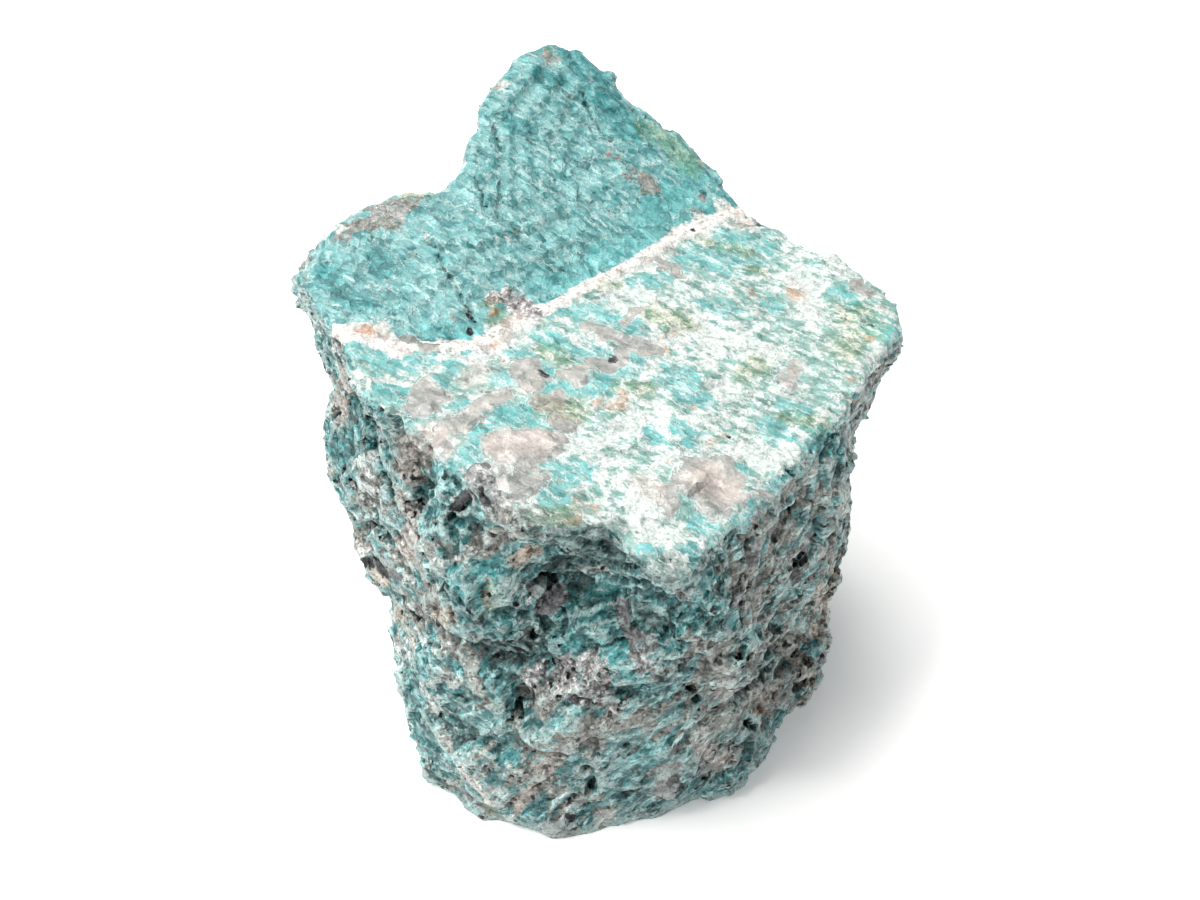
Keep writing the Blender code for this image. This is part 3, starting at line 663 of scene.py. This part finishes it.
# Microcline feldspar, cleaved: glassy on its split faces, in flakes that each catch the light
# their own way, with thin pale threads of albite about 1 mm apart. The albite is a fine white
# sugar, the quartz is smoky glass. All are drawn from their real grain sizes.
skin = bpy.data.materials.new("cleaved_amazonite")
skin.use_nodes = True
tree = skin.node_tree
face = tree.nodes["Principled BSDF"]


def add_node(kind, settings=(), stops=(), **inputs):
    """Adds a node. An input is given by its name, or by _ and its number, as a value, a node or a socket."""
    made = tree.nodes.new(kind)
    for name, value in dict(settings).items():
        setattr(made, name, value)
    for number, (position, code) in enumerate(stops):
        if number > 1:
            made.color_ramp.elements.new(position)
        made.color_ramp.elements[number].position = position
        made.color_ramp.elements[number].color = linear(code)
    for name, value in inputs.items():
        socket = made.inputs[int(name[1:]) if name[1:].isdigit() else name.replace("_", " ")]
        if isinstance(value, bpy.types.Node):
            value = next(output for output in value.outputs if output.enabled)
        if isinstance(value, bpy.types.NodeSocket):
            tree.links.new(value, socket)
        else:
            socket.default_value = value
    return made


# A math node's inputs are _0, _1 and _2. A mix node's are _0, the share, and then _2 and _3 for
# numbers, _4 and _5 for vectors, _6 and _7 for colours. A map range's are Value, _1 and _2, the
# range that it reads, and _3 and _4, the range that it gives.
TIMES = {"operation": "MULTIPLY"}
TIMES_PLUS = {"operation": "MULTIPLY_ADD"}
MINUS = {"operation": "SUBTRACT"}
LARGER = {"operation": "MAXIMUM"}
STEP = {"interpolation_type": "SMOOTHSTEP"}
NUMBERS = {"data_type": "FLOAT"}
VECTORS = {"data_type": "VECTOR"}
COVER = {"data_type": "RGBA"}
STAIN = {"data_type": "RGBA", "blend_type": "MULTIPLY"}
DRAWN_OUT = {"vector_type": "TEXTURE"}

place = add_node("ShaderNodeTexCoord").outputs["Object"]
field = {name: add_node("ShaderNodeAttribute", {"attribute_name": name}).outputs["Fac"] for name in FIELDS}

# The crystals' grain runs to the right and forward on the top, up to the right on the front,
# and level on the other sides. The patterns are drawn out along it, and meet on ragged borders.
WOBBLE_SIZE, WOBBLE_FAR = 2.2 * MM, 1.6 * MM
GRAIN_ON_TOP, DRAWN_ON_TOP = (0, 0, math.radians(-35)), (1.8, 1, 1)
GRAIN_ON_FRONT, DRAWN_ON_FRONT = (0, math.radians(-52), 0), (3.4, 1.3, 1)
DRAWN_ON_SIDES = (2.0, 2.0, 1)
wobble = add_node("ShaderNodeTexNoise", Vector=place, Scale=1 / WOBBLE_SIZE, Detail=4.0, Roughness=0.65)
wobble = wobble.outputs["Color"]
wobbled = add_node("ShaderNodeVectorMath", TIMES_PLUS, _0=wobble, _1=(WOBBLE_FAR,) * 3, _2=place)
on_top = add_node("ShaderNodeMapping", DRAWN_OUT, Vector=wobbled, Rotation=GRAIN_ON_TOP, Scale=DRAWN_ON_TOP)
on_front = add_node("ShaderNodeMapping", DRAWN_OUT,
                    Vector=wobbled, Rotation=GRAIN_ON_FRONT, Scale=DRAWN_ON_FRONT)
grain = add_node("ShaderNodeMapping", DRAWN_OUT, Vector=wobbled, Scale=DRAWN_ON_SIDES)
lumpy = add_node("ShaderNodeSeparateColor", Color=wobble)
for name, across in (("front", on_front), ("slope", on_top), ("shelf", on_top)):
    ragged = add_node("ShaderNodeMath", TIMES_PLUS, _0=lumpy, _1=0.8, _2=field[name])
    there = add_node("ShaderNodeMath", {"operation": "GREATER_THAN"}, _0=ragged, _1=0.9)
    grain = add_node("ShaderNodeMix", VECTORS, _0=there, _4=grain, _5=across)

# clouds, patches, crumbs, mottled grain, and the pale threads that run along it
CLOUD, PATCH, CRUMB, GRAIN_WIDE, THREAD = 9 * MM, 3.2 * MM, 0.9 * MM, 1.6 * MM, 1.0 * MM
drift = add_node("ShaderNodeTexNoise", Vector=place, Scale=1 / CLOUD, Detail=2.0)
patchy = add_node("ShaderNodeTexNoise", Vector=wobbled, Scale=1 / PATCH, Detail=5.0, Roughness=0.62)
crumb = add_node("ShaderNodeTexNoise", Vector=place, Scale=1 / CRUMB, Detail=3.0, Roughness=0.65)
mottle = add_node("ShaderNodeTexNoise", Vector=grain, Scale=1 / GRAIN_WIDE, Detail=5.0, Roughness=0.68)
threads = add_node("ShaderNodeMapping", DRAWN_OUT, Vector=grain, Scale=(2.6, 1, 1))
threads = add_node("ShaderNodeTexNoise", Vector=threads, Scale=1 / THREAD, Detail=3.0, Roughness=0.6)

# Flakes and chips of 1.9 and 1.0 mm. Each has its own shade, and its face leans its own way.
FLAKE, CHIP = 1.9 * MM, 1.0 * MM
RIM_WIDE = (0.03 * MM, 0.16 * MM)
shade, lean, rim, own_colour = {}, {}, {}, {}
for piece, size in (("flake", FLAKE), ("chip", CHIP)):
    cells = add_node("ShaderNodeTexVoronoi", Vector=grain, Scale=1 / size)
    own_colour[piece] = cells.outputs["Color"]
    shade[piece] = add_node("ShaderNodeSeparateColor", Color=own_colour[piece])
    from_middle = add_node("ShaderNodeVectorMath", MINUS, _0=grain, _1=cells.outputs["Position"])
    turned = add_node("ShaderNodeVectorMath", MINUS, _0=own_colour[piece], _1=(0.5,) * 3)
    tilted = add_node("ShaderNodeVectorMath", {"operation": "DOT_PRODUCT"}, _0=from_middle, _1=turned)
    lean[piece] = add_node("ShaderNodeMath", TIMES, _0=tilted.outputs["Value"], _1=2 / size)
    edge = add_node("ShaderNodeTexVoronoi", {"feature": "DISTANCE_TO_EDGE"}, Vector=grain, Scale=1 / size)
    rim_in, rim_out = (width / size for width in RIM_WIDE)
    rim[piece] = add_node("ShaderNodeMapRange", STEP, Value=edge, _1=rim_in, _2=rim_out, _3=1.0, _4=0.0)

# Feldspar: blue-green by cloud, flake and chip, with broken pale rims, partly a painted highlight, and
# threads.
# Its tone spreads wider and lies deeper on the sides, most of all on the front, partly as painted light and
# shade.
TONE = 0.40
SPREAD_ON = {"side": 1.6, "front": 1.0}
DEEPER_ON = {"side": -0.10, "front": -0.12, "slope": 0.05}
BLUES = ((0.10, "#2A6E70"), (0.34, "#509295"), (0.50, "#74B3B4"), (0.72, "#9ECCCB"), (1.0, "#C8E8E5"))
# the lean terms put a painted gradient of shade across each flake and chip
depth = 0.08
for pattern, share in ((mottle, 0.28), (drift, 0.15), (shade["flake"].outputs[0], 0.12),
                       (shade["chip"].outputs[0], 0.12), (lean["flake"], 0.16), (lean["chip"], 0.16)):
    depth = add_node("ShaderNodeMath", TIMES_PLUS, _0=pattern, _1=share, _2=depth)
spread = 1.0
for name, share in SPREAD_ON.items():
    spread = add_node("ShaderNodeMath", TIMES_PLUS, _0=field[name], _1=share, _2=spread)
deeper = TONE
for name, share in DEEPER_ON.items():
    deeper = add_node("ShaderNodeMath", TIMES_PLUS, _0=field[name], _1=share, _2=deeper)
depth = add_node("ShaderNodeMath", MINUS, _0=depth, _1=TONE)
depth = add_node("ShaderNodeMath", TIMES_PLUS, _0=depth, _1=spread, _2=deeper)
feldspar = add_node("ShaderNodeValToRGB", stops=BLUES, Fac=depth)
pale = add_node("ShaderNodeMapRange", STEP, Value=threads, _1=0.56, _2=0.66)
for edge, low, high in ((rim["flake"], 0.42, 0.58), (rim["chip"], 0.48, 0.60)):
    broken = add_node("ShaderNodeMapRange", STEP, Value=mottle, _1=low, _2=high)
    broken = add_node("ShaderNodeMath", TIMES, _0=edge, _1=broken)
    pale = add_node("ShaderNodeMath", LARGER, _0=pale, _1=broken)
pale = add_node("ShaderNodeMath", TIMES, _0=pale, _1=0.74)
feldspar = add_node("ShaderNodeMix", COVER, _0=pale, _6=feldspar, _7=linear("#C6E6E4"))

# Ragged edges for the minerals: the noise of crumbs, of grain, or of whole flakes and chips,
# which leaves straight sides.
crumbly = add_node("ShaderNodeMath", MINUS, _0=mottle, _1=0.5)
soft = add_node("ShaderNodeMath", MINUS, _0=patchy, _1=0.5)
by_flake = add_node("ShaderNodeMath", TIMES_PLUS, _0=shade["flake"].outputs[1], _1=0.45, _2=-0.40)
angular = add_node("ShaderNodeMath", TIMES_PLUS, _0=shade["chip"].outputs[1], _1=0.35, _2=by_flake)
angular = add_node("ShaderNodeMath", TIMES_PLUS, _0=crumbly, _1=0.9, _2=angular)
glassy = add_node("ShaderNodeMath", TIMES, _0=shade["flake"].outputs[0], _1=0.30)
glassy = add_node("ShaderNodeMath", TIMES_PLUS, _0=patchy, _1=0.6, _2=glassy)
lighter_up = add_node("ShaderNodeMath", TIMES_PLUS, _0=field["shelf"], _1=0.28, _2=glassy)

COATS = (
    # mineral, tint or painted shade, its edges, how ragged they are, where it starts, where it is full,
    # how much it covers, whether it covers or stains, the pattern of its tone, and its colours
    ("shelf", soft, 0.8, 0.2, 1.0, 0.68, COVER,
     mottle, ((0.35, "#86ACA1"), (0.60, "#B9D2C8"))),
    ("teal", angular, 0.9, 0.36, 0.56, 0.80, COVER,
     depth, ((0.15, "#17565B"), (0.50, "#3F989B"), (0.90, "#94D6D7"))),
    ("aqua", angular, 1.1, 0.38, 0.56, 0.75, COVER,
     depth, ((0.15, "#3C9C9F"), (0.50, "#74C4C5"), (0.90, "#B8E8E7"))),
    ("grey", angular, 1.1, 0.44, 0.56, 0.92, COVER,
     crumb, ((0.30, "#5F605B"), (0.50, "#8F8C85"), (0.70, "#C3C0BA"))),
    ("albite", crumbly, 1.7, 0.45, 0.59, 1.0, COVER,
     crumb, ((0.30, "#8FA6A1"), (0.42, "#C0CFCB"), (0.55, "#E2E8E5"), (0.66, "#F8F8F6"))),
    ("seam", crumbly, 1.4, 0.42, 0.58, 0.95, COVER,
     crumb, ((0.30, "#A99A92"), (0.42, "#DDD5CE"), (0.52, "#F8F6F3"))),
    ("glitter", angular, 0.7, 0.42, 0.56, 1.0, COVER,
     crumb, ((0.36, "#6A6A6C"), (0.50, "#A8A6A6"), (0.62, "#EDEBEA"))),
    ("quartz", angular, 0.6, 0.36, 0.44, 0.4, COVER,    # the frosted edge round each grain
     crumb, ((0.30, "#B9CFCB"), (0.55, "#F2F6F4"))),
    ("quartz", angular, 0.6, 0.46, 0.52, 1.0, COVER,
     lighter_up, ((0.20, "#666D6B"), (0.60, "#989A97"), (1.0, "#CBC6C1"))),
    ("smoke", angular, 0.3, 0.46, 0.54, 1.0, COVER,
     glassy, ((0.20, "#3C4044"), (0.70, "#8C8A8C"))),
    ("beige", angular, 0.8, 0.42, 0.56, 1.0, COVER,
     crumb, ((0.32, "#9C9182"), (0.62, "#D5CDC1"))),
    ("olive", soft, 0.9, 0.35, 0.80, 0.80, STAIN,
     crumb, ((0.3, "#C9C49A"), (0.6, "#E6E2C8"))),
    ("pink", soft, 0.8, 0.35, 0.80, 0.50, COVER,
     crumb, ((0.3, "#C2ABA3"), (0.6, "#E3D6CF"))),
    ("rust", crumbly, 1.6, 0.42, 0.80, 0.60, COVER,
     crumb, ((0.3, "#9A6238"), (0.6, "#D39B70"))),
    # painted shade, laid over the recess and hollows under the shelf and the ledges
    ("painted_shade", crumbly, 0.9, 0.35, 0.70, 0.70, STAIN,
     crumb, ((0.3, "#4A5F5D"), (0.6, "#7A8E8B"))),
    ("black", angular, 0.4, 0.47, 0.54, 1.0, COVER,
     crumb, ((0.4, "#17191B"), (0.7, "#3A3E40"))),
    # painted shade in the pits, near black
    ("pit", soft, 0.3, 0.50, 0.95, 0.85, COVER,
     crumb, ((0.3, "#1E2625"), (0.7, "#3A4644"))),
    # painted shade along the cracks
    ("crack", soft, 0.3, 0.45, 0.80, 0.85, STAIN,
     crumb, ((0.3, "#3E4C4B"), (0.7, "#66726F"))),
)
surface = feldspar
shown_share = {}
for name, edges, ragged, start, full, share, way, tone, colours in COATS:
    amount = add_node("ShaderNodeMath", TIMES_PLUS, _0=edges, _1=ragged, _2=field[name])
    amount = add_node("ShaderNodeMapRange", STEP, Value=amount, _1=start, _2=full, _3=0.0, _4=share)
    tint = add_node("ShaderNodeValToRGB", stops=colours, Fac=tone)
    surface = add_node("ShaderNodeMix", way, _0=amount, _6=surface, _7=tint)
    shown_share[name] = amount

# every flake and chip is a little lighter or darker than the next, partly its own tone and partly painted
# shade across its leaning face; the shelf's have pale threads and rims, partly a painted highlight, fewer on
# the quartz
cut = 0.82
for pattern, share in ((shade["chip"].outputs[2], 0.18), (lean["flake"], 0.20),
                       (shade["flake"].outputs[2], 0.18)):
    cut = add_node("ShaderNodeMath", TIMES_PLUS, _0=pattern, _1=share, _2=cut)
surface = add_node("ShaderNodeMix", STAIN, _0=1.0, _6=surface, _7=cut)
shelf_rims_and_highlight = add_node("ShaderNodeMath", TIMES, _0=pale, _1=field["shelf"])
clean = add_node("ShaderNodeMapRange", Value=shown_share["quartz"], _3=0.8, _4=0.3)
shelf_rims_and_highlight = add_node("ShaderNodeMath", TIMES, _0=shelf_rims_and_highlight, _1=clean)
surface = add_node("ShaderNodeMix", COVER, _0=shelf_rims_and_highlight, _6=surface, _7=linear("#EEF7F5"))

# painted shade and dirt in the crevices, pale broken edges with a painted highlight, and fine dark specks,
# most on the sides
SPECK = 0.5 * MM
crevice_shade = add_node("ShaderNodeMapRange", STEP, Value=field["hollow"], _1=0.10, _2=0.85, _3=0.0, _4=0.70)
crevice_shade_on_sides = add_node("ShaderNodeMath", TIMES_PLUS, _0=field["side"], _1=0.7, _2=0.3)
crevice_shade = add_node("ShaderNodeMath", TIMES, _0=crevice_shade, _1=crevice_shade_on_sides)
surface = add_node("ShaderNodeMix", STAIN, _0=crevice_shade, _6=surface, _7=linear("#56625F"))
# painted highlight and pale broken colour on the outer edges of the sides
pale_edge_and_highlight = add_node("ShaderNodeMapRange", STEP, Value=field["hollow"], _1=-0.15, _2=-0.75, _3=0.0, _4=0.45)
pale_edge_and_highlight = add_node("ShaderNodeMath", TIMES, _0=pale_edge_and_highlight, _1=field["side"])
surface = add_node("ShaderNodeMix", COVER, _0=pale_edge_and_highlight, _6=surface, _7=linear("#CFE6E2"))
speckle = add_node("ShaderNodeTexNoise", Vector=place, Scale=1 / SPECK, Detail=2.0, Roughness=0.7)
speckle = add_node("ShaderNodeValToRGB", stops=((0.36, "#5A6160"), (0.46, "#FFFFFF")), Fac=speckle)
speckled = add_node("ShaderNodeMath", TIMES_PLUS, _0=field["side"], _1=0.55, _2=0.22)
surface = add_node("ShaderNodeMix", STAIN, _0=speckled, _6=surface, _7=speckle)
tree.links.new(next(output for output in surface.outputs if output.enabled), face.inputs["Base Color"])

# split feldspar is glossy, sugary albite dull, quartz like glass
GLOSSIEST_CHIP, DULLEST_CHIP, SUGAR_ROUGH, GLASS_ROUGH = 0.14, 0.52, 0.62, 0.18
FELDSPAR_IOR = 1.53
glass = add_node("ShaderNodeMath", LARGER, _0=shown_share["quartz"], _1=shown_share["smoke"])
rough = add_node("ShaderNodeMapRange", Value=shade["chip"].outputs[1], _3=GLOSSIEST_CHIP, _4=DULLEST_CHIP)
rough = add_node("ShaderNodeMix", NUMBERS, _0=shown_share["albite"], _2=rough, _3=SUGAR_ROUGH)
rough = add_node("ShaderNodeMix", NUMBERS, _0=glass, _2=rough, _3=GLASS_ROUGH)
tree.links.new(rough.outputs[0], face.inputs["Roughness"])
face.inputs["IOR"].default_value = FELDSPAR_IOR

# Relief too fine for the mesh: leaning flakes and chips, grain and crumbs. The quartz is smooth.
RELIEF_DEEP, RELIEF_STRENGTH = 0.6 * MM, 0.75
height = add_node("ShaderNodeMath", TIMES, _0=crumb, _1=0.30)
for pattern, share in ((mottle, 0.30), (threads, 0.25), (lean["flake"], 0.9), (lean["chip"], 0.6),
                       (pale, 0.30)):
    height = add_node("ShaderNodeMath", TIMES_PLUS, _0=pattern, _1=share, _2=height)
smoothed = add_node("ShaderNodeMapRange", Value=glass, _3=1.0, _4=0.35)
height = add_node("ShaderNodeMath", TIMES, _0=height, _1=smoothed)
relief = add_node("ShaderNodeBump", Height=height, Strength=RELIEF_STRENGTH, Distance=RELIEF_DEEP)

# Each small crystal also faces its own way, which makes it glint, most on the broken sides.
GLINT = 0.8 * MM
GLINT_ON_TOP, GLINT_ON_SIDES = 0.30, 2.0
sparkle = add_node("ShaderNodeTexVoronoi", Vector=wobbled, Scale=1 / GLINT).outputs["Color"]
own_way = add_node("ShaderNodeVectorMath", TIMES_PLUS, _0=sparkle, _1=(0.6,) * 3, _2=(-0.55,) * 3)
own_way = add_node("ShaderNodeVectorMath", TIMES_PLUS, _0=own_colour["flake"], _1=(0.5,) * 3, _2=own_way)
amount = add_node("ShaderNodeMapRange", Value=field["side"], _3=GLINT_ON_TOP, _4=GLINT_ON_SIDES)
own_way = add_node("ShaderNodeVectorMath", {"operation": "SCALE"}, _0=own_way, Scale=amount)
facing = add_node("ShaderNodeVectorMath", {"operation": "ADD"}, _0=relief, _1=own_way)
facing = add_node("ShaderNodeVectorMath", {"operation": "NORMALIZE"}, _0=facing)
tree.links.new(facing.outputs["Vector"], face.inputs["Normal"])
stone.data.materials.append(skin)

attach(stone, "root")
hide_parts("amazonite_block")
